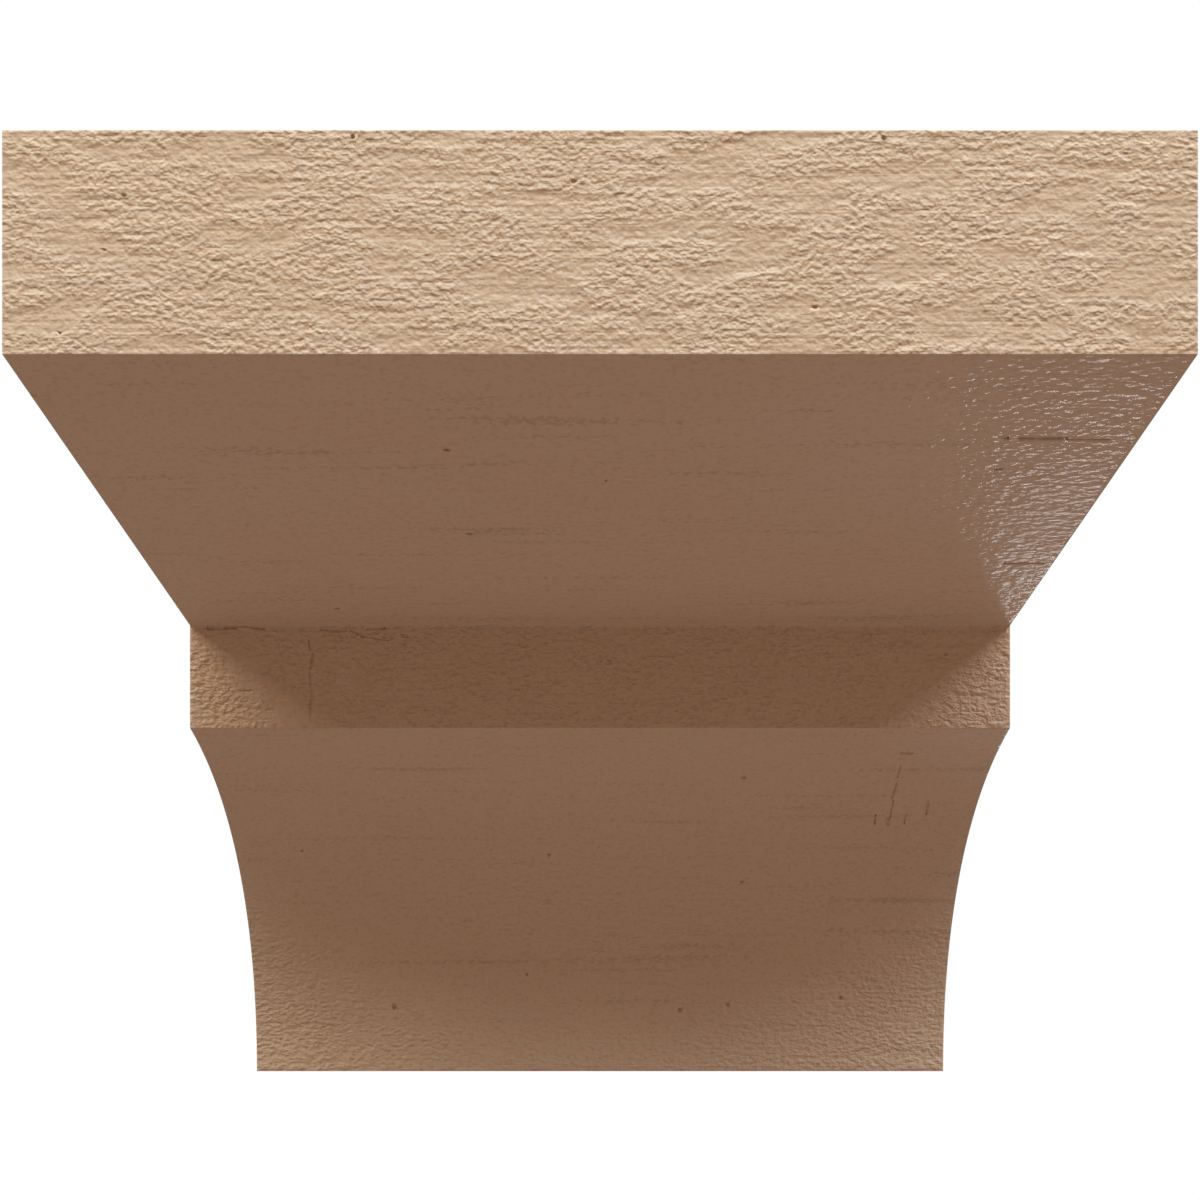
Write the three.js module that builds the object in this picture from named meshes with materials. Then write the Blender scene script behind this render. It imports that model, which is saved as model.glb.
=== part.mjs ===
// A corbel block: a thick nose on top, a soffit that slopes down towards the wall, a narrow
// upright step, a long hollow cove and a plain foot against the wall. It is cast as one solid
// block, so it is one mesh. The side view is one outline, pushed straight across the width.
//
// Millimetres. +Z is up, the wall is the plane y = 0 and the block stands out towards -Y.
// The origin is the middle of the back face, where the block is fixed to the wall.
import * as THREE from "three";

// Width along the wall
const width = 203.2;

// Heights, from the top edge down
const noseHeight = 38.1;
const soffitDrop = 38.1;
const stepHeight = 25.4;
const coveHeight = 101.6;

// Depths, from the front edge back to the wall
const soffitDepth = 95.25;
const coveDepth = 59.1;
const footDepth = 48.85;

// Straight pieces that stand for the cove's arc
const coveSegments = 32;

// Finish: a matt tan primer over the cast grain
const primerColour = "#caa984";
const primerRoughness = 0.72;

const height = noseHeight + soffitDrop + stepHeight + coveHeight;
const depth = soffitDepth + coveDepth + footDepth;

// The side view. Its x is the distance from the wall (negative is forward) and its y is height.
function sideOutline() {
  const top = height / 2;
  const bottom = -height / 2;
  const noseBottom = top - noseHeight;
  const stepTop = noseBottom - soffitDrop;
  const stepFace = -depth + soffitDepth;

  // The cove is one arc that runs out upright at the foot, so its centre is level with the
  // bottom edge, and it starts at the step's lower edge.
  const coveRadius = (coveDepth ** 2 + coveHeight ** 2) / (2 * coveDepth);
  const coveCentre = -footDepth - coveRadius;
  const coveStart = Math.atan2(coveHeight, stepFace - coveCentre);

  const outline = new THREE.Shape();
  outline.moveTo(0, top);
  outline.lineTo(-depth, top);
  outline.lineTo(-depth, noseBottom);
  outline.lineTo(stepFace, stepTop);
  // The arc brings its own line to where it starts, and that line is the step's face
  outline.absarc(coveCentre, bottom, coveRadius, coveStart, 0, true);
  outline.lineTo(0, bottom);
  outline.closePath();
  return outline;
}

function corbel() {
  const geometry = new THREE.ExtrudeGeometry(sideOutline(), {
    depth: width,
    bevelEnabled: false,
    curveSegments: coveSegments,
  });
  const material = new THREE.MeshStandardMaterial({
    color: primerColour,
    roughness: primerRoughness,
    metalness: 0,
  });
  const block = new THREE.Mesh(geometry, material);
  block.name = "corbel";
  // Turns the outline upright: its x to Y, its y to Z and the extrusion to X
  block.rotation.set(Math.PI / 2, Math.PI / 2, 0);
  block.position.x = -width / 2;
  return block;
}

const model = new THREE.Group();
model.add(corbel());

export default model;
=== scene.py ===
import math
import random

import bmesh
import bpy
import numpy as np
from mathutils import Matrix, Vector, kdtree, noise


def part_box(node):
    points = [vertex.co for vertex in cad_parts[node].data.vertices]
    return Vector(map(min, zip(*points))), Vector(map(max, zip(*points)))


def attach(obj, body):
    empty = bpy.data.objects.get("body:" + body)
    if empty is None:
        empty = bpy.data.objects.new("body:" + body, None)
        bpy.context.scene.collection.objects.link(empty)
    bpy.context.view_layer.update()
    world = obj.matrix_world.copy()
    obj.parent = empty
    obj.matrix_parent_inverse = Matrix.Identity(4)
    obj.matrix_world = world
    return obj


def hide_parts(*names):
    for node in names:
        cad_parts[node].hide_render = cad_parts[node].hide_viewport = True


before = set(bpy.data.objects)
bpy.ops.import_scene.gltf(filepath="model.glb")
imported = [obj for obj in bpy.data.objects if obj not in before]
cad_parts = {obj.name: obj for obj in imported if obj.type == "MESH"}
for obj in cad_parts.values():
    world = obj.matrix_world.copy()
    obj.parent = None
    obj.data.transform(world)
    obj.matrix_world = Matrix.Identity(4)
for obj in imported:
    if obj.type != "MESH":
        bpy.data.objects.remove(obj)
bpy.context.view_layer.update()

# The block
# One solid block of rigid urethane foam, cast in a mould that was taken from a sawn and
# sandblasted timber block, so that the whole skin carries its grain. The arrises are sharp, and
# the plain flat back is glued and screwed to the wall.

MM = 0.001
block_low, block_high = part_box("corbel")
block_size = block_high - block_low
block_centre = (block_low + block_high) / 2

# Levels of the side view, in parts of the height
nose_bottom = block_high.z - block_size.z * 3 / 16
step_top = nose_bottom - block_size.z * 3 / 16
step_bottom = step_top - block_size.z * 2 / 16

# Points that are closer than this are one point, and faces that meet at less than this angle
# are one flat face
weld_gap = 0.001 * MM
flat_angle = math.radians(0.5)

# A face looks along an axis if its normal has this much of it, and the foot is all but level
square_on = 0.9
level_foot = 0.99

# An arris is rounded by two short flats, which meet this share of the radius in from each face
arris_radius = 0.08 * MM
arris_least_angle = math.radians(10)
arris_middle = 1 - math.sqrt(0.5)

# The grain lies this far below the block's faces, and its highest lumps stand this far over
# them at most, so the block is made that much smaller all round
grain_sink = 0.07 * MM
skin_swell = 0.06 * MM

# How far in from an arris the grain comes to its full depth
arris_calm = 0.9 * MM

# The grid that carries the grain: one step along the width, and for each face one along the
# side view's outline. The sides have a grid of their own, along the depth and the height.
width_step = 1.0 * MM
outline_steps = {
    "nose": 0.42 * MM,
    "soffit": 1.2 * MM,
    "step": 0.65 * MM,
    "cove": 1.9 * MM,
    "foot": 2.0 * MM,
    "top": 4.2 * MM,
    "back": 12.0 * MM,
}
side_steps = (2.8 * MM, 1.2 * MM)


def face_name(normal, place):
    """The name of the block's face that has this normal at this place."""
    if abs(normal.x) > square_on:
        return "side"
    if normal.z > square_on:
        return "top"
    if normal.y > square_on:
        return "back"
    if place.z > nose_bottom:
        return "nose"
    if place.z > step_top:
        return "soffit"
    if place.z > step_bottom:
        return "step"
    if normal.z < -level_foot:
        return "foot"
    return "cove"


def side_view():
    """The block's left side as one flat face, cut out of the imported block."""
    shape = bmesh.new()
    shape.from_mesh(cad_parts["corbel"].data)
    bmesh.ops.remove_doubles(shape, verts=shape.verts, dist=weld_gap)
    bmesh.ops.dissolve_limit(
        shape, angle_limit=flat_angle, verts=shape.verts, edges=shape.edges
    )
    others = [face for face in shape.faces if face.normal.x > -square_on]
    bmesh.ops.delete(shape, geom=others, context="FACES")
    shrink = [1 - 2 * skin_swell / length for length in block_size]
    bmesh.ops.scale(
        shape, vec=shrink, space=Matrix.Translation(-block_centre), verts=shape.verts
    )
    return shape


def outward(edge):
    """The direction out of the block, square to an edge of the side view's outline."""
    loop = edge.link_loops[0]
    run = loop.link_loop_next.vert.co - loop.vert.co
    return run.cross(loop.face.normal).normalized()


shape = side_view()
outer_corners = []
inner_corners = []
for vert in shape.verts:
    before, after = (outward(edge) for edge in vert.link_edges)
    if before.angle(after) > arris_least_angle:
        (outer_corners if vert.link_loops[0].is_convex else inner_corners).append(vert)
arris_places = [vert.co.copy() for vert in inner_corners]
rounded = bmesh.ops.bevel(
    shape,
    geom=outer_corners,
    offset=arris_radius,
    offset_type="OFFSET",
    affect="VERTICES",
    segments=2,
    profile=0.5,
    material=-1,
    clamp_overlap=True,
)
arris_places += [vert.co.copy() for vert in rounded["verts"]]

# The outline is cut into the rows of the grid
rows = []
for edge in shape.edges:
    middle = (edge.verts[0].co + edge.verts[1].co) / 2
    step = outline_steps[face_name(outward(edge), middle)]
    rows.append((edge, round(edge.calc_length() / step) - 1))
bmesh.ops.delete(shape, geom=shape.faces[:], context="FACES_ONLY")
for cuts in sorted({cuts for edge, cuts in rows if cuts > 0}):
    bmesh.ops.subdivide_edges(
        shape, edges=[edge for edge, count in rows if count == cuts], cuts=cuts
    )
outline_verts = shape.verts[:]
outline_places = [vert.co.copy() for vert in outline_verts]

# The rim of the left side: the outline steps in, and out to the side, in two short flats
side_x = outline_verts[0].co.x
left_side = bmesh.ops.edgeloop_fill(shape, edges=shape.edges)["faces"][0]
for step_in, stands_back in ((arris_middle, 1.0), (1 - arris_middle, arris_middle), (0, 0)):
    for vert in left_side.verts:
        vert.co.x = side_x + arris_radius * stands_back
    if step_in:
        bmesh.ops.inset_individual(
            shape, faces=[left_side], thickness=arris_radius * step_in, use_even_offset=True
        )
outline_edges = [edge for edge in shape.edges if edge.is_boundary]


def inside(points, loop):
    """Which of the points (rows of depth and height) lie inside the closed loop."""
    within = np.zeros(len(points), bool)
    for (y_1, z_1), (y_2, z_2) in zip(loop, np.roll(loop, -1, axis=0)):
        if z_1 == z_2:
            continue
        level = (z_1 > points[:, 1]) != (z_2 > points[:, 1])
        meets = y_1 + (points[:, 1] - z_1) * (y_2 - y_1) / (z_2 - z_1)
        within ^= level & (points[:, 0] < meets)
    return within


# The left side's grid, trimmed to the outline and joined to the rim
rim_loop = [loop.vert for loop in left_side.loops]
rim_edges = [loop.edge for loop in left_side.loops]
columns, levels = (
    round(length / step) for length, step in zip((block_size.y, block_size.z), side_steps)
)
side_place = (
    Matrix.Translation((side_x, block_centre.y, block_centre.z))
    @ Matrix(((0, 0, 1), (block_size.y, 0, 0), (0, block_size.z, 0))).to_4x4()
)
side_grid = bmesh.ops.create_grid(
    shape, x_segments=columns, y_segments=levels, size=0.5, matrix=side_place
)["verts"]
places = np.array([vert.co.yz for vert in side_grid])
rim_places = np.array([vert.co.yz for vert in rim_loop])
rim_tree = kdtree.KDTree(len(rim_places))
for number, place in enumerate(rim_places):
    rim_tree.insert((*place, 0), number)
rim_tree.balance()
kept = [
    within and rim_tree.find((*place, 0))[2] > side_steps[1] / 2
    for place, within in zip(places, inside(places, rim_places))
]
outside = [vert for vert, keep in zip(side_grid, kept) if not keep]
side_grid = [vert for vert, keep in zip(side_grid, kept) if keep]
bmesh.ops.delete(shape, geom=[left_side], context="FACES_ONLY")
bmesh.ops.delete(shape, geom=outside, context="VERTS")
loose = [vert for vert in side_grid if not vert.link_faces]
side_grid = [vert for vert in side_grid if vert.link_faces]
bmesh.ops.delete(shape, geom=loose, context="VERTS")
grid_edges = dict.fromkeys(edge for vert in side_grid for edge in vert.link_edges)
grid_border = [edge for edge in grid_edges if edge.is_boundary]
bmesh.ops.triangle_fill(
    shape, use_beauty=True, edges=grid_border + rim_edges, normal=(-1, 0, 0)
)

# The right side mirrors the left, and the outline is drawn across the width between them
width_steps = round(block_size.x / width_step)
reach = 2 * (block_centre.x - outline_verts[0].co.x)
bmesh.ops.mirror(
    shape,
    geom=shape.verts[:] + shape.edges[:] + shape.faces[:],
    matrix=Matrix.Translation(-block_centre),
    merge_dist=0,
    axis="X",
)
bmesh.ops.spin(
    shape,
    geom=outline_edges,
    cent=(0, 0, 0),
    axis=(1, 0, 0),
    dvec=(reach / width_steps, 0, 0),
    angle=0,
    steps=width_steps,
)
bmesh.ops.remove_doubles(shape, verts=shape.verts, dist=weld_gap)
bmesh.ops.recalc_face_normals(shape, faces=shape.faces)


def smooth_step(value, low, high):
    """Rises from 0 at low to 1 at high, with soft ends."""
    share = min(1.0, max(0.0, (value - low) / (high - low)))
    return share * share * (3 - 2 * share)


def tree_of(places):
    """A search tree of places, flattened on to the side view."""
    tree = kdtree.KDTree(len(places))
    for number, place in enumerate(places):
        tree.insert((0, place.y, place.z), number)
    tree.balance()
    return tree


arris_tree = tree_of(arris_places)
outline_tree = tree_of(outline_places)
half_width = reach / 2


def calm_share(place, name):
    """From 0 on an arris to 1 where the grain has its full depth."""
    flat = (0, place.y, place.z)
    if name == "side":
        away = outline_tree.find(flat)[2]
    else:
        away = min(half_width - abs(place.x), arris_tree.find(flat)[2])
    return smooth_step(away, 0, arris_calm)


# Which faces have grain that runs out from the wall, and how strong each face's grain is
depth_grain = ("top", "side")
grain_strength = {
    "nose": 1.0,
    "soffit": 0.5,
    "step": 0.9,
    "cove": 0.7,
    "foot": 0.8,
    "top": 1.0,
    "side": 1.0,
    "back": 0.2,
}

# One patch of each part of the grain, in millimetres: its length along the grain and its width
# across it, and a shift that keeps the parts from falling together
grain_patches = {
    "wander": (38, 26, 3),
    "wear": (14, 7, 11),
    "bands": (26, 3.4, 23),
    "ledges": (12, 1.7, 37),
    "lumps": (2.4, 1.3, 51),
}

# How far the lines of the grain wander, and how high its parts stand, in millimetres
wander_reach = 1.6
band_height = 0.04
ledge_height = 0.1
lump_height = 0.11

# Worn patches have this share of the ledges and the lumps, and lie where the pattern is low
worn_share = 0.5
worn_below, whole_above = -0.35, 0.15

# The top and the sides take their grain from another part of the pattern
pattern_shift = 300


def grain_height(place, along_depth):
    """The height of the cast grain at a place on the skin, in metres, about zero."""
    x, y, z = (length / MM for length in place)
    if along_depth:
        run, side_a, side_b = y, x + pattern_shift, z + pattern_shift
    else:
        run, side_a, side_b = x, y, z

    def grain(part):
        length, width, shift = grain_patches[part]
        return noise.noise(Vector((run / length + shift, side_a / width, side_b / width)))

    wander = wander_reach * grain("wander")
    side_a += wander
    side_b += wander
    rough = worn_share + (1 - worn_share) * smooth_step(grain("wear"), worn_below, whole_above)
    bands = band_height * grain("bands")
    ledges = ledge_height * (0.5 - abs(grain("ledges")))
    lumps = lump_height * grain("lumps")
    return (bands + rough * (ledges + lumps)) * MM


shape.normal_update()
moves = []
for vert in shape.verts:
    name = face_name(vert.normal, vert.co)
    height = calm_share(vert.co, name) * grain_strength[name]
    if height:
        height *= grain_height(vert.co, name in depth_grain) - grain_sink
    moves.append(vert.normal * min(skin_swell, height))
for vert, move in zip(shape.verts, moves):
    vert.co += move

# How strongly each face shows the finest grain, the upright marks of the saw, and scuffs. The
# cove is smooth at its top, and as rough as it gets this far down.
cove_smooth = 60 * MM
cove_least = 0.2
fine_grain = {"nose": 1.08, "soffit": 0.12, "step": 1.3, "cove": 0.8, "foot": 1.0}
fine_grain.update(top=1.0, side=1.0, back=0.4)
flaked = {name: 0.0 for name in grain_strength}
flaked.update(soffit=0.5, step=0.8, cove=1.0)
sawn = {"nose": 0.05, "soffit": 0.05, "step": 0.5, "cove": 0.3, "foot": 0.3}
sawn.update(top=0.3, side=0.3, back=0.5)
scuffed = {"nose": 0.0, "soffit": 1.7, "step": 0.6, "cove": 1.4, "foot": 0.5}
scuffed.update(top=0.5, side=0.5, back=0.2)
along_depth = {name: float(name in depth_grain) for name in grain_strength}
face_shares = {
    "side_grain": along_depth,
    "fine_grain": fine_grain,
    "flaked": flaked,
    "sawn": sawn,
    "scuffed": scuffed,
}
share_layers = {share: shape.faces.layers.float.new(share) for share in face_shares}
for face in shape.faces:
    face.smooth = True
    middle = face.calc_center_median()
    name = face_name(face.normal, middle)
    for share, layer in share_layers.items():
        face[layer] = face_shares[share][name]
    if name == "cove":
        roughened = smooth_step(step_bottom - middle.z, 0, cove_smooth)
        roughened = cove_least + (1 - cove_least) * roughened
        face[share_layers["fine_grain"]] *= roughened
        face[share_layers["flaked"]] *= roughened

block_mesh = bpy.data.meshes.new("corbel_block")
shape.to_mesh(block_mesh)
shape.free()
block_mesh.attributes.remove(block_mesh.attributes["custom_normal"])
block = bpy.data.objects.new("corbel_block", block_mesh)
bpy.context.scene.collection.objects.link(block)

# Marks in the front of the block, seen from the front: how far across and up, half the width,
# half the height and the depth, all in millimetres, and how far it is turned, in degrees.
# Pinholes, where an air bubble lay at the skin, come first.
front_marks = [
    (-42.0, 100.4, 0.42, 0.42, 0.8, 0),
    (-4.4, 92.9, 0.6, 0.38, 0.6, 0),
    (48.2, 100.2, 0.45, 0.42, 0.8, 0),
    (-80.8, 90.4, 0.42, 0.28, 0.4, 0),
    (-84.2, 81.2, 0.42, 0.25, 0.4, 0),
    (-91.7, 67.1, 0.28, 0.28, 0.5, 0),
    (36.5, 71.5, 0.6, 0.38, 0.5, 0),
    (-29.2, 53.1, 0.7, 0.35, 0.4, 0),
    (-27.9, 41.6, 0.65, 0.35, 0.4, 0),
    (1.2, 49.2, 0.26, 0.26, 0.4, 0),
    (-63.3, 28.7, 0.7, 0.35, 0.4, 0),
    (78.1, 50.7, 0.8, 0.35, 0.4, 4),
    (-48.3, 20.8, 0.42, 0.4, 0.26, 0),
    (2.2, 16.8, 0.42, 0.4, 0.26, 0),
    (85.7, 18.3, 0.42, 0.42, 0.28, 0),
    (37.8, -13.1, 0.7, 0.35, 0.4, 0),
    (-83.0, -34.2, 0.46, 0.46, 0.4, 0),
    (-14.2, -35.4, 0.46, 0.46, 0.4, 0),
    (40.2, -43.6, 0.4, 0.4, 0.35, 0),
    (-21.4, -72.3, 0.32, 0.32, 0.5, 0),
    (-60.4, -82.4, 0.76, 0.76, 0.85, 0),
    (23.6, -83.1, 0.72, 0.72, 0.9, 0),
    (37.7, -81.5, 0.62, 0.62, 0.75, 0),
    (70.6, -79.4, 0.66, 0.66, 0.9, 0),
]

# Level grooves in the right of the soffit
front_marks += [
    (81.5, 54.5, 7.0, 0.1, 0.09, 0),
    (93.0, 54.4, 6.0, 0.09, 0.08, 0),
    (95.0, 37.0, 6.0, 0.12, 0.1, 0),
]

# Creases in the step
front_marks += [
    (-87.6, 9.2, 1.5, 0.2, 0.25, 0),
    (-71.9, 20.4, 0.26, 1.3, 0.22, 12),
    (-71.4, 16.6, 0.2, 2.0, 0.17, -7),
    (-71.8, 12.2, 0.17, 1.7, 0.14, 5),
    (-71.5, 7.8, 0.2, 2.1, 0.17, -4),
    (-71.6, 3.4, 0.2, 1.6, 0.14, 3),
    (-94.9, 24.7, 2.6, 0.4, 0.35, -3),
    (-90.4, 25.0, 2.9, 0.3, 0.3, 4),
    (-85.3, 24.8, 2.2, 0.2, 0.25, -5),
    (-66.0, 24.2, 3.5, 0.2, 0.25, -2),
    (-59.5, 23.2, 2.6, 0.17, 0.25, -24),
    (-54.6, 22.0, 2.4, 0.17, 0.25, -8),
    (-55.5, 24.6, 2.2, 0.22, 0.25, 4),
    (-48.3, 22.9, 0.9, 0.25, 0.2, -25),
]

# Scratches that run down the right of the cove
front_marks += [
    (78.5, -6.4, 1.7, 0.14, 0.16, 0),
    (78.2, -11.3, 0.13, 2.6, 0.15, 2),
    (78.4, -16.4, 0.15, 3.4, 0.2, -1),
    (78.8, -22.0, 0.2, 3.6, 0.25, 2),
    (78.6, -25.6, 0.35, 1.2, 0.2, 10),
    (88.4, -21.6, 0.18, 2.8, 0.18, 3),
    (75.0, -25.0, 0.2, 2.0, 0.13, 3),
    (83.2, -24.6, 0.18, 1.8, 0.14, 0),
]

# Each mark is looked for from this far out, in millimetres, towards the block
start_out = 300
marks = [
    ((across, -start_out, up), (0, 1, 0), half_across, half_up, depth, turned)
    for across, up, half_across, half_up, depth, turned in front_marks
]

# Round pinholes scattered over the top, and over both sides beside the nose and by the wall
scatter = random.Random(8)
scatter_rounds = 6
scatter_halves = (0.3, 0.6)
scatter_depth = 0.8
top_across, top_along = (-90, 90), (-190, -10)
nose_along, nose_up = (-190, -115), (70, 95)
wall_along, wall_up = (-45, -5), (-95, 60)
for _ in range(scatter_rounds):
    half = scatter.uniform(*scatter_halves)
    over_top = (scatter.uniform(*top_across), scatter.uniform(*top_along), start_out)
    marks.append((over_top, (0, 0, -1), half, half, scatter_depth, 0))
    for side in (-1, 1):
        for along, up in ((nose_along, nose_up), (wall_along, wall_up)):
            beside = (start_out * side, scatter.uniform(*along), scatter.uniform(*up))
            marks.append((beside, (-side, 0, 0), half, half, scatter_depth, 0))

# Each mark is cut by an ellipsoid that lies in the skin, where a line from outside meets it
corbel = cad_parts["corbel"]
cutter_shape = bmesh.new()
for start, towards, half_across, half_up, depth, turned in marks:
    _, place, normal, _ = corbel.ray_cast(Vector(start) * MM, towards)
    lie = normal.to_track_quat("Z", "Y").to_matrix().to_4x4()
    turn = Matrix.Rotation(math.radians(turned), 4, "Z")
    stretch = Matrix.Diagonal((half_across * MM, half_up * MM, depth * MM, 1))
    sunk = Matrix.Translation(place - normal * grain_sink)
    bmesh.ops.create_icosphere(
        cutter_shape, subdivisions=2, radius=1.0, matrix=sunk @ lie @ turn @ stretch
    )
cutter_mesh = bpy.data.meshes.new("pinholes")
cutter_shape.to_mesh(cutter_mesh)
cutter_shape.free()
cutter = bpy.data.objects.new("pinholes", cutter_mesh)
bpy.context.scene.collection.objects.link(cutter)
holed = block.modifiers.new("pinholes", "BOOLEAN")
holed.operation = "DIFFERENCE"
holed.solver = "MANIFOLD"
holed.object = cutter
solid_block = block.evaluated_get(bpy.context.evaluated_depsgraph_get())
holed_mesh = bpy.data.meshes.new_from_object(solid_block)
block.modifiers.clear()
block.data = holed_mesh
bpy.data.objects.remove(cutter)
bpy.data.meshes.remove(block_mesh)
block_mesh = holed_mesh


def linear(hex_colour):
    """A colour that is written as sRGB hex, in Blender's linear values."""
    channels = [int(hex_colour[place : place + 2], 16) / 255 for place in (1, 3, 5)]
    spread = [c / 12.92 if c <= 0.04045 else ((c + 0.055) / 1.055) ** 2.4 for c in channels]
    return (*spread, 1.0)


def add_node(tree, kind, inputs=None, **settings):
    """Adds a node of a kind, with its settings. An input takes a value, or a link from a socket.

    Inputs that share one name, as those of the Math node do, go by their number.
    """
    node = tree.nodes.new(kind)
    for name, value in settings.items():
        setattr(node, name, value)
    for socket, value in (inputs or {}).items():
        if isinstance(value, bpy.types.NodeSocket):
            tree.links.new(value, node.inputs[socket])
        else:
            node.inputs[socket].default_value = value
    return node


# One patch of each pattern in the primed skin, in millimetres: its length along the grain and
# its width across it. The last number is how much finer detail the pattern has.
patterns = {
    "lumps": (1.2, 0.95, 1.5),
    "patches": (14, 6, 1.0),
    "flakes": (2.2, 1.2, 1.0),
    "level lines": (55, 0.75, 1.0),
    "saw marks": (1.0, 16, 1.0),
    "scuffs": (1.3, 0.7, 2.0),
    "scuffed lines": (45, 2.4, 0.0),
    "clouds": (45, 22, 2.0),
}

# Each pattern is shifted by this many patches more than the one before it
shift_step = (3, 5, 9)

# The height of the fine grain from its lowest to its highest point, and how strong its thin
# level lines are beside its lumps
fine_depth = 0.53 * MM
level_line_share = 0.2

# Colours of the primer: its slow clouds, painted shade down in the hollows, and where it is
# scuffed
tan = linear("#d2b498")
pale_tan = linear("#d5b9a0")
hollow_shade_brown = linear("#a87c52")
scuff_grey = linear("#7c735f")

# What the primer's colour is multiplied by as painted shade on the under side of a lump, and as
# painted sheen on its upper side
shade_side_tint = linear("#fff1e1")
sheen_side_tint = linear("#f4faff")


def face_share(tree, name):
    """How strongly the face shows something, as it is kept on the mesh."""
    return add_node(tree, "ShaderNodeAttribute", attribute_name=name).outputs["Fac"]


def place_along_grain(tree):
    """The place on the block, turned on the top and the sides so that X runs along the grain."""
    place = add_node(tree, "ShaderNodeTexCoord").outputs["Object"]
    turned = add_node(
        tree, "ShaderNodeMapping", {"Rotation": (0, 0, math.radians(90)), "Vector": place}
    )
    along = add_node(
        tree,
        "ShaderNodeMix",
        {"Factor": face_share(tree, "side_grain"), "A": place, "B": turned.outputs["Vector"]},
        data_type="VECTOR",
    )
    return along.outputs["Result"]


def add_patterns(tree):
    """Every pattern, by its name, stretched along the grain."""
    place = place_along_grain(tree)
    pattern = {}
    for number, (name, (length, width, detail)) in enumerate(patterns.items()):
        stretched = add_node(
            tree,
            "ShaderNodeMapping",
            {
                "Location": [step * number for step in shift_step],
                "Scale": (1 / (length * MM), 1 / (width * MM), 1 / (width * MM)),
                "Vector": place,
            },
        )
        blotches = add_node(
            tree,
            "ShaderNodeTexNoise",
            {
                "Vector": stretched.outputs["Vector"],
                "Scale": 1.0,
                "Detail": detail,
                "Roughness": 0.5,
            },
        )
        pattern[name] = blotches.outputs["Fac"]
    return pattern


def fine_grain_height(tree, pattern):
    """Lumps that are weaker in worn patches, level lines, flakes and upright saw marks."""
    strength = add_node(
        tree,
        "ShaderNodeMapRange",
        {
            "Value": pattern["patches"],
            "From Min": 0.36,
            "From Max": 0.56,
            "To Min": 0.48,
            "To Max": 1.06,
        },
        interpolation_type="SMOOTHSTEP",
    )
    lumps = add_node(
        tree,
        "ShaderNodeMath",
        {0: pattern["lumps"], 1: strength.outputs["Result"]},
        operation="MULTIPLY",
    )
    lined = add_node(
        tree,
        "ShaderNodeMath",
        {0: pattern["level lines"], 1: level_line_share, 2: lumps.outputs["Value"]},
        operation="MULTIPLY_ADD",
    )
    faced = add_node(
        tree,
        "ShaderNodeMath",
        {0: lined.outputs["Value"], 1: face_share(tree, "fine_grain")},
        operation="MULTIPLY",
    )
    flaky = add_node(
        tree,
        "ShaderNodeMath",
        {0: pattern["flakes"], 1: face_share(tree, "flaked"), 2: faced.outputs["Value"]},
        operation="MULTIPLY_ADD",
    )
    worn = add_node(
        tree,
        "ShaderNodeMapRange",
        {
            "Value": pattern["patches"],
            "From Min": 0.54,
            "From Max": 0.4,
            "To Min": 0.0,
            "To Max": 1.0,
        },
        interpolation_type="SMOOTHSTEP",
    )
    saw_marked = add_node(
        tree,
        "ShaderNodeMath",
        {0: worn.outputs["Result"], 1: face_share(tree, "sawn")},
        operation="MULTIPLY",
    )
    height = add_node(
        tree,
        "ShaderNodeMath",
        {0: pattern["saw marks"], 1: saw_marked.outputs["Value"], 2: flaky.outputs["Value"]},
        operation="MULTIPLY_ADD",
    )
    return height.outputs["Value"]


def primer_colour_with_hollow_shade(tree, pattern):
    """The primer's tan lies in slow clouds, with painted shade that makes it browner in the
    hollows.
    """
    clouded = add_node(
        tree,
        "ShaderNodeMix",
        {"Factor": pattern["clouds"], "A": tan, "B": pale_tan},
        data_type="RGBA",
    )
    # Painted shade: browner where the lumps are low
    hollow_shade_mask = add_node(
        tree,
        "ShaderNodeMapRange",
        {
            "Value": pattern["lumps"],
            "From Min": 0.48,
            "From Max": 0.3,
            "To Min": 0.0,
            "To Max": 0.2,
        },
    )
    with_hollow_shade = add_node(
        tree,
        "ShaderNodeMix",
        {
            "Factor": hollow_shade_mask.outputs["Result"],
            "A": clouded.outputs["Result"],
            "B": hollow_shade_brown,
        },
        data_type="RGBA",
    )
    return with_hollow_shade.outputs["Result"]


def add_painted_sheen_and_shade(tree, colour, bumped):
    """A painted sheen makes the upper side of each lump greyer, and painted shade keeps the
    under side a warmer tan.
    """
    flat = add_node(tree, "ShaderNodeNewGeometry").outputs["Normal"]
    lean = add_node(tree, "ShaderNodeVectorMath", {0: bumped, 1: flat}, operation="SUBTRACT")
    lean_parts = add_node(tree, "ShaderNodeSeparateXYZ", {"Vector": lean.outputs["Vector"]})
    upper_side = add_node(
        tree,
        "ShaderNodeMapRange",
        {"Value": lean_parts.outputs["Z"], "From Min": -0.25, "From Max": 0.25},
    )
    # Painted sheen on the upper side of each lump and painted shade on its under side
    sheen_and_shade_tint = add_node(
        tree,
        "ShaderNodeMix",
        {"Factor": upper_side.outputs["Result"], "A": shade_side_tint, "B": sheen_side_tint},
        data_type="RGBA",
    )
    tinted_by_light = add_node(
        tree,
        "ShaderNodeMix",
        {"Factor": 1.0, "A": colour, "B": sheen_and_shade_tint.outputs["Result"]},
        data_type="RGBA",
        blend_type="MULTIPLY",
    )
    return tinted_by_light.outputs["Result"]


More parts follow.
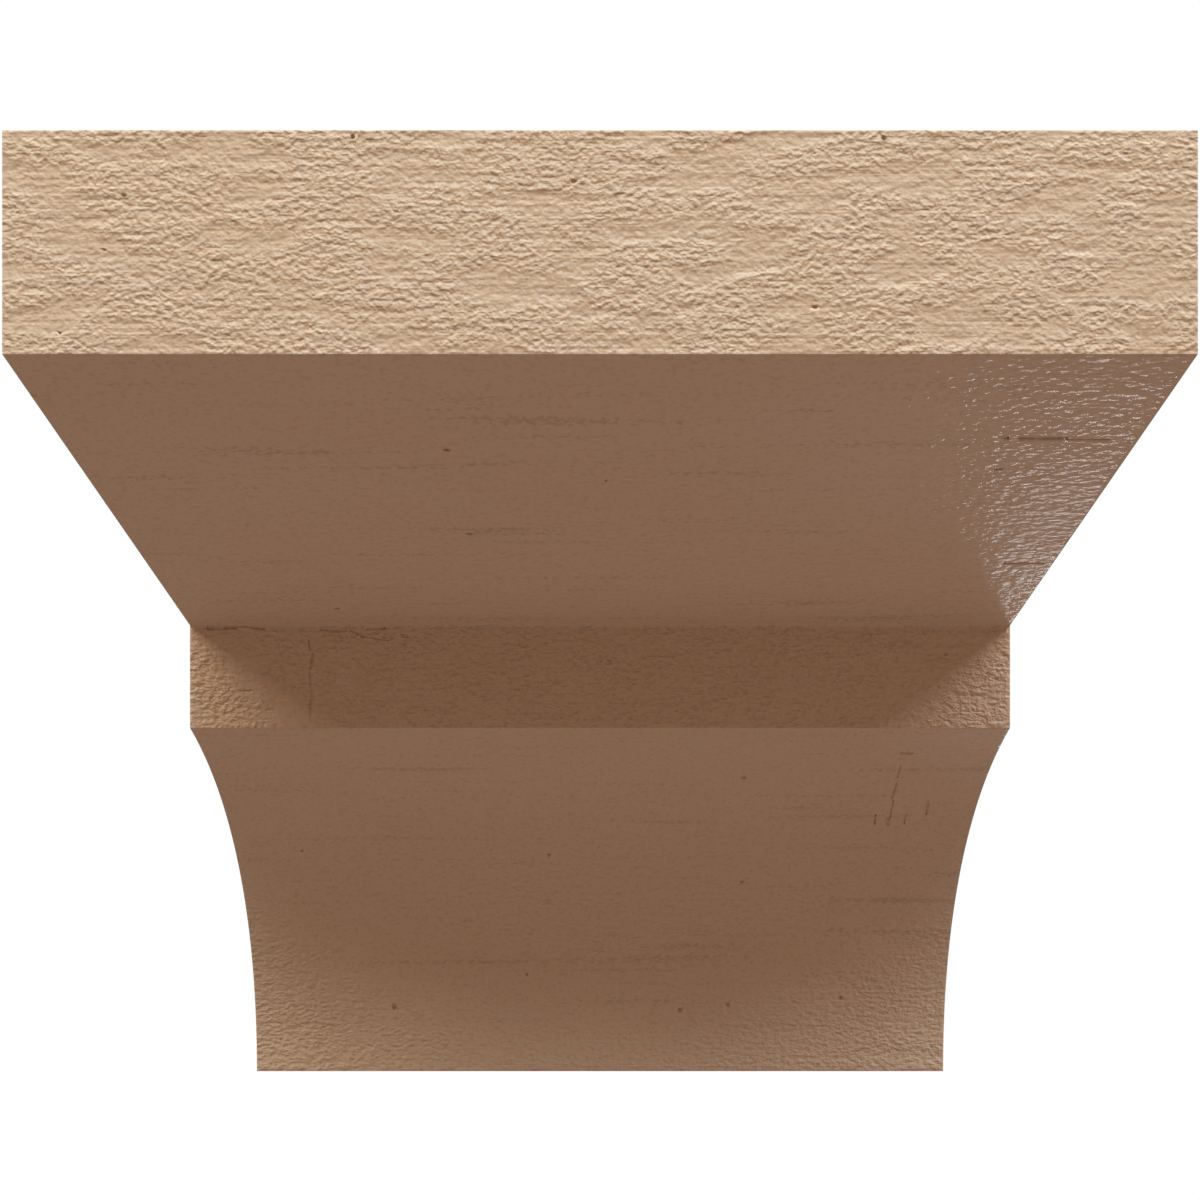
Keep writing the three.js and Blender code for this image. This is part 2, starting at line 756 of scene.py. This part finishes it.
def add_scuffs(tree, pattern, colour):
    """Sparse grey-green scuffs along a level line here and there."""
    scuff_place = add_node(
        tree,
        "ShaderNodeMath",
        {0: pattern["scuffs"], 1: pattern["scuffed lines"]},
        operation="ADD",
    )
    scuff = add_node(
        tree,
        "ShaderNodeMapRange",
        {
            "Value": scuff_place.outputs["Value"],
            "From Min": 1.24,
            "From Max": 1.4,
            "To Min": 0.0,
            "To Max": 0.16,
        },
        interpolation_type="SMOOTHSTEP",
    )
    scuff_depth = add_node(
        tree,
        "ShaderNodeMath",
        {0: scuff.outputs["Result"], 1: face_share(tree, "scuffed")},
        operation="MULTIPLY",
    )
    scuffed_skin = add_node(
        tree,
        "ShaderNodeMix",
        {"Factor": scuff_depth.outputs["Value"], "A": colour, "B": scuff_grey},
        data_type="RGBA",
    )
    return scuffed_skin.outputs["Result"]


def primed_urethane():
    """Rigid cast urethane with a matt tan primer and a thin glossier skin of its own.

    To the eye it is an even, chalky tan, with sparse grey-green scuffs, and a weak sheen that
    glints where a light lies behind it. Painted shade makes it browner down in the grain, a
    painted sheen makes the upper side of each lump greyer, and painted shade keeps the under
    side warmer.
    """
    material = bpy.data.materials.new("primed_cast_urethane")
    material.use_nodes = True
    tree = material.node_tree
    tree.nodes.clear()
    pattern = add_patterns(tree)
    height = fine_grain_height(tree, pattern)
    bump = add_node(
        tree, "ShaderNodeBump", {"Strength": 1.0, "Distance": fine_depth, "Height": height}
    )
    bumped = bump.outputs["Normal"]
    # The primer's tan with painted shade in the hollows, and painted sheen and shade on each
    # lump
    colour = add_painted_sheen_and_shade(tree, primer_colour_with_hollow_shade(tree, pattern), bumped)
    shader = add_node(
        tree,
        "ShaderNodeBsdfPrincipled",
        {
            "Base Color": add_scuffs(tree, pattern, colour),
            "Normal": bumped,
            "Coat Normal": bumped,
            "Metallic": 0.0,
            "Roughness": 0.72,
            "IOR": 1.5,
            "Specular IOR Level": 0.12,
            "Coat Weight": 0.12,
            "Coat Roughness": 0.1,
        },
    )
    add_node(tree, "ShaderNodeOutputMaterial", {"Surface": shader.outputs["BSDF"]})
    return material


block_mesh.materials.clear()
block_mesh.materials.append(primed_urethane())
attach(block, "root")
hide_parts("corbel")

# The studio
# A white floor that curves up into a white room, far enough away to be out of the light. It
# shows as plain white behind the block and throws no light on it.

room_radius = 3.0
floor_level = -0.75
room_weld_gap = 0.001
room_glow = 1.02

room_shape = bmesh.new()
bmesh.ops.create_uvsphere(room_shape, u_segments=48, v_segments=24, radius=room_radius)
for vert in room_shape.verts:
    vert.co.z = max(vert.co.z, floor_level)
bmesh.ops.remove_doubles(room_shape, verts=room_shape.verts, dist=room_weld_gap)
bmesh.ops.reverse_faces(room_shape, faces=room_shape.faces)
room_mesh = bpy.data.meshes.new("studio_floor")
room_shape.to_mesh(room_mesh)
room_shape.free()
room = bpy.data.objects.new("studio_floor", room_mesh)
bpy.context.scene.collection.objects.link(room)
room.visible_diffuse = False
room.visible_glossy = False
room.visible_shadow = False


def white_studio_paint():
    """White paint under even studio light: plain white to the eye, with no shading."""
    material = bpy.data.materials.new("white_studio_paint")
    material.use_nodes = True
    tree = material.node_tree
    tree.nodes.clear()
    glow = add_node(tree, "ShaderNodeEmission", {"Strength": room_glow})
    add_node(tree, "ShaderNodeOutputMaterial", {"Surface": glow.outputs["Emission"]})
    return material


room_mesh.materials.append(white_studio_paint())

# The light
# Two soft boxes high at the left and the right rake down over the face of the nose, a third
# hangs high in front, and warm light from all round fills the shade under the nose. A bright
# sheet low behind the block gives the soffit its glint.


def soft_box(name, direction, distance, size, energy, colour):
    """A square soft box that points at the block from a direction, unseen by the camera."""
    lamp = bpy.data.lights.new(name, "AREA")
    lamp.shape = "SQUARE"
    lamp.size = size
    lamp.energy = energy
    lamp.color = colour
    holder = bpy.data.objects.new(name, lamp)
    bpy.context.scene.collection.objects.link(holder)
    towards = Vector(direction).normalized()
    holder.location = block_centre + towards * distance
    holder.rotation_euler = towards.to_track_quat("Z", "Y").to_euler()
    holder.visible_camera = False
    return holder


soft_box(
    "left_soft_box",
    direction=(-1.0, -0.45, 1.38),
    distance=1.6,
    size=0.85,
    energy=23.4,
    colour=(1.0, 0.943, 0.787),
)
soft_box(
    "right_soft_box",
    direction=(1.0, -0.45, 1.38),
    distance=1.6,
    size=0.75,
    energy=23.4,
    colour=(0.875, 0.926, 1.0),
)
soft_box(
    "front_soft_box",
    direction=(0.0, -0.64, 0.77),
    distance=1.8,
    size=0.6,
    energy=16.6,
    colour=(0.622, 0.916, 1.0),
)

# The bright sheet shows only as the glint. Its left edge is in line with the camera, as the
# edge of the glint is.
glint_sheet = soft_box(
    "glint_sheet",
    direction=(0.0, 0.0, -1.0),
    distance=1.0,
    size=0.16,
    energy=3.2,
    colour=(0.95, 0.97, 1.0),
)
glint_sheet.data.shape = "RECTANGLE"
glint_sheet.data.size_y = 0.36
glint_sheet.location = (0.49, 0.56, -0.61)
glint_sheet.rotation_euler = (math.pi, 0, math.radians(-13.6))
glint_sheet.visible_diffuse = False

# The light that comes from all round: how high it comes from, from 0 for straight below to 1
# for straight above, and its colour
fill_colours = (
    (0.0, (0.66, 0.467, 0.44)),
    (0.25, (0.113, 0.178, 0.153)),
    (0.5, (0.42, 0.262, 0.213)),
    (1.0, (0.31, 0.239, 0.211)),
)


def studio_fill():
    """A world of soft light whose colour depends on how high it comes from."""
    world = bpy.data.worlds.new("studio_fill")
    world.use_nodes = True
    tree = world.node_tree
    tree.nodes.clear()
    direction = add_node(tree, "ShaderNodeTexCoord").outputs["Generated"]
    height = add_node(tree, "ShaderNodeSeparateXYZ", {"Vector": direction}).outputs["Z"]
    rise = add_node(
        tree, "ShaderNodeMapRange", {"Value": height, "From Min": -1.0, "From Max": 1.0}
    )
    ramp = add_node(tree, "ShaderNodeValToRGB", {"Fac": rise.outputs["Result"]})
    stops = ramp.color_ramp.elements
    for height_share, _ in fill_colours[1:-1]:
        stops.new(height_share)
    for stop, (_, colour) in zip(stops, fill_colours):
        stop.color = (*colour, 1)
    fill = add_node(
        tree, "ShaderNodeBackground", {"Color": ramp.outputs["Color"], "Strength": 1.0}
    )
    add_node(tree, "ShaderNodeOutputWorld", {"Surface": fill.outputs["Background"]})
    return world


bpy.context.scene.world = studio_fill()

# The camera
# It looks straight at the wall from the middle of the block's height, very near the nose. In a
# picture of this many pixels, the eye level falls on this row, and the lens is this long.

image_size = 1200
eye_row = 728.06
focal_pixels = 1223.4
sensor_width = 36.0
nose_distance = 0.20765
nearest_seen = 0.01
farthest_seen = 20.0

camera_data = bpy.data.cameras.new("camera")
camera_data.sensor_width = sensor_width
camera_data.lens = focal_pixels / image_size * sensor_width
camera_data.shift_y = (eye_row - image_size / 2) / image_size
camera_data.clip_start = nearest_seen
camera_data.clip_end = farthest_seen
camera = bpy.data.objects.new("camera", camera_data)
bpy.context.scene.collection.objects.link(camera)
camera.location = (0, block_low.y - nose_distance, block_centre.z)
camera.rotation_euler = (math.radians(90), 0, 0)
bpy.context.scene.camera = camera
bpy.context.scene.view_settings.view_transform = "Standard"
